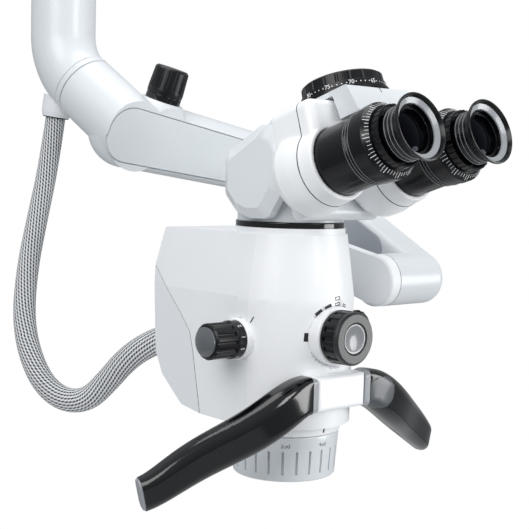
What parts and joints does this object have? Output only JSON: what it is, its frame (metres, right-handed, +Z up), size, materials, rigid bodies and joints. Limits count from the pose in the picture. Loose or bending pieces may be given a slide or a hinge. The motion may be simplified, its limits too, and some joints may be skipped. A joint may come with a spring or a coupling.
{
  "type": "surgical microscope",
  "caption": "Surgical microscope head on a bent carrier arm, with foldable binocular tube, magnification and light knobs, focusing objective, drooping grips and hose.",
  "frame": {"origin": "centre of the shoulder under the top spigot, where the down tube hangs from its carrier", "axes": "+Z up along the spigot and down tube; -Y toward the user who looks into the eyepieces; +X to the user's right"},
  "size_m": [0.2713, 0.3586, 0.3881],
  "materials": {
    "white_paint": "satin",
    "cover_white": "satin",
    "gloss_white": "gloss",
    "black_anodised": "satin",
    "black_plastic": "matte",
    "black_gloss": "gloss",
    "black_rubber": "matte",
    "dark_grey": "gloss",
    "grey_plastic": "matte",
    "bare_aluminium": "satin",
    "steel": "satin",
    "bronze": "satin",
    "coated_glass": "polished",
    "hose_braid": "woven"
  },
  "bodies": {
    "column": {"down_tube": "white_paint", "roll_ring": "bare_aluminium", "roll_shaft": "steel", "roll_lock_nut": "steel", "cable_gland": "cover_white", "hose_upper": "hose_braid"},
    "arm": {"arm_casting": "white_paint", "arm_front_cover": "cover_white", "arm_side_cover": "grey_plastic", "roll_bush": "bronze", "friction_base_ring": "black_gloss", "tilt_bush": "bronze"},
    "friction_knob": {"friction_knob": "black_plastic", "friction_spindle": "steel"},
    "head": {"tilt_bracket": "white_paint", "tilt_shaft": "steel", "main_housing": "white_paint", "rear_cover": "cover_white", "dovetail_ring": "black_anodised", "light_collar": "gloss_white", "side_collars": "gloss_white", "lamp_module": "black_anodised", "deflection_mirror": "coated_glass", "objective_collar": "gloss_white", "objective_tube": "black_anodised", "handle_bracket": "gloss_white", "handle_collars": "grey_plastic", "handle_left": "black_gloss", "handle_right": "black_gloss", "hose_lower": "hose_braid", "tube_base": "white_paint"},
    "light_knob": {"light_knob": "black_plastic", "light_knob_face": "grey_plastic", "light_knob_cap": "dark_grey"},
    "magnification_changer": {"magnification_knob_left": "black_plastic", "magnification_knob_right": "black_plastic", "knob_caps": "dark_grey", "magnification_shaft": "steel", "magnification_drum": "black_anodised", "magnification_lenses": "coated_glass"},
    "focus_ring": {"focus_ring": "cover_white"},
    "lens_cell": {"lens_cell": "black_anodised", "objective_lens": "coated_glass"},
    "links": {"link_left": "white_paint", "link_right": "white_paint", "low_pivot_shaft": "steel", "high_pivot_shaft": "steel"},
    "binocular": {"binocular_body": "white_paint", "prisms": "coated_glass"},
    "eye_distance_dial": {"eye_distance_dial": "black_plastic"},
    "ocular_left": {"ocular_housing_left": "white_paint", "eyepiece_left": "black_anodised", "eye_lens_left": "coated_glass"},
    "ocular_right": {"ocular_housing_right": "white_paint", "eyepiece_right": "black_anodised", "eye_lens_right": "coated_glass"},
    "diopter_left": {"diopter_ring_left": "black_plastic"},
    "diopter_right": {"diopter_ring_right": "black_plastic"},
    "eyecup_left": {"eyecup_left": "black_rubber"},
    "eyecup_right": {"eyecup_right": "black_rubber"}
  },
  "joints": [
    {"name": "arm_roll", "type": "hinge", "parent": "column", "child": "arm", "pos_m": [0.0181, -0.07085, -0.13147], "axis": [0.2011, -0.7872, -0.583], "range_deg": [-30, 30], "deforming": ["hose_upper"]},
    {"name": "head_tilt", "type": "hinge", "parent": "arm", "child": "head", "pos_m": [0.133, -0.202, -0.2286], "axis": [1, 0, 0], "range_deg": [-30, 30], "deforming": ["hose_lower"]},
    {"name": "friction_turn", "type": "hinge", "parent": "arm", "child": "friction_knob", "pos_m": [0.04573, -0.06139, -0.10721], "axis": [0.1502, -0.28, 0.9482], "range_deg": [-180, 180]},
    {"name": "light_turn", "type": "hinge", "parent": "head", "child": "light_knob", "pos_m": [0.058, -0.245, -0.2586], "axis": [0, -1, 0], "range_deg": [-135, 135]},
    {"name": "magnification_turn", "type": "hinge", "parent": "head", "child": "magnification_changer", "pos_m": [0.058, -0.19, -0.2625], "axis": [1, 0, 0], "range_deg": [-120, 120]},
    {"name": "focus_turn", "type": "hinge", "parent": "head", "child": "focus_ring", "pos_m": [0.058, -0.19, -0.343], "axis": [0, 0, 1], "range_deg": [-90, 90]},
    {"name": "focus_travel", "type": "slide", "parent": "head", "child": "lens_cell", "axis": [0, 0, 1], "range_m": [-0.004, 0.004]},
    {"name": "link_fold", "type": "hinge", "parent": "head", "child": "links", "pos_m": [0.058, -0.195, -0.164], "axis": [1, 0, 0], "range_deg": [-30, 0]},
    {"name": "tube_tilt", "type": "hinge", "parent": "links", "child": "binocular", "pos_m": [0.058, -0.21, -0.14], "axis": [1, 0, 0], "range_deg": [-60, 0]},
    {"name": "eye_distance_turn", "type": "hinge", "parent": "binocular", "child": "eye_distance_dial", "pos_m": [0.058, -0.23556, -0.1037], "axis": [0, 0.309, 0.9511], "range_deg": [-70, 85]},
    {"name": "ocular_left_slide", "type": "slide", "parent": "binocular", "child": "ocular_left", "axis": [-1, 0, 0], "range_m": [-0.0045, 0.0055]},
    {"name": "ocular_right_slide", "type": "slide", "parent": "binocular", "child": "ocular_right", "axis": [1, 0, 0], "range_m": [-0.0045, 0.0055]},
    {"name": "diopter_left_turn", "type": "hinge", "parent": "ocular_left", "child": "diopter_left", "pos_m": [0.026, -0.30467, -0.13382], "axis": [0, -0.9511, 0.309], "range_deg": [-150, 150]},
    {"name": "eyecup_left_slide", "type": "slide", "parent": "ocular_left", "child": "eyecup_left", "axis": [0, 0.9511, -0.309], "range_m": [0, 0.005]},
    {"name": "diopter_right_turn", "type": "hinge", "parent": "ocular_right", "child": "diopter_right", "pos_m": [0.09, -0.30467, -0.13382], "axis": [0, -0.9511, 0.309], "range_deg": [-150, 150]},
    {"name": "eyecup_right_slide", "type": "slide", "parent": "ocular_right", "child": "eyecup_right", "axis": [0, 0.9511, -0.309], "range_m": [0, 0.005]}
  ],
  "couplings": [
    {"joint": "focus_travel", "follows": "focus_turn", "m_per_rad": 0.0025465},
    {"joint": "ocular_left_slide", "follows": "eye_distance_turn", "m_per_rad": 0.0036833},
    {"joint": "ocular_right_slide", "follows": "eye_distance_turn", "m_per_rad": 0.0036833}
  ]
}
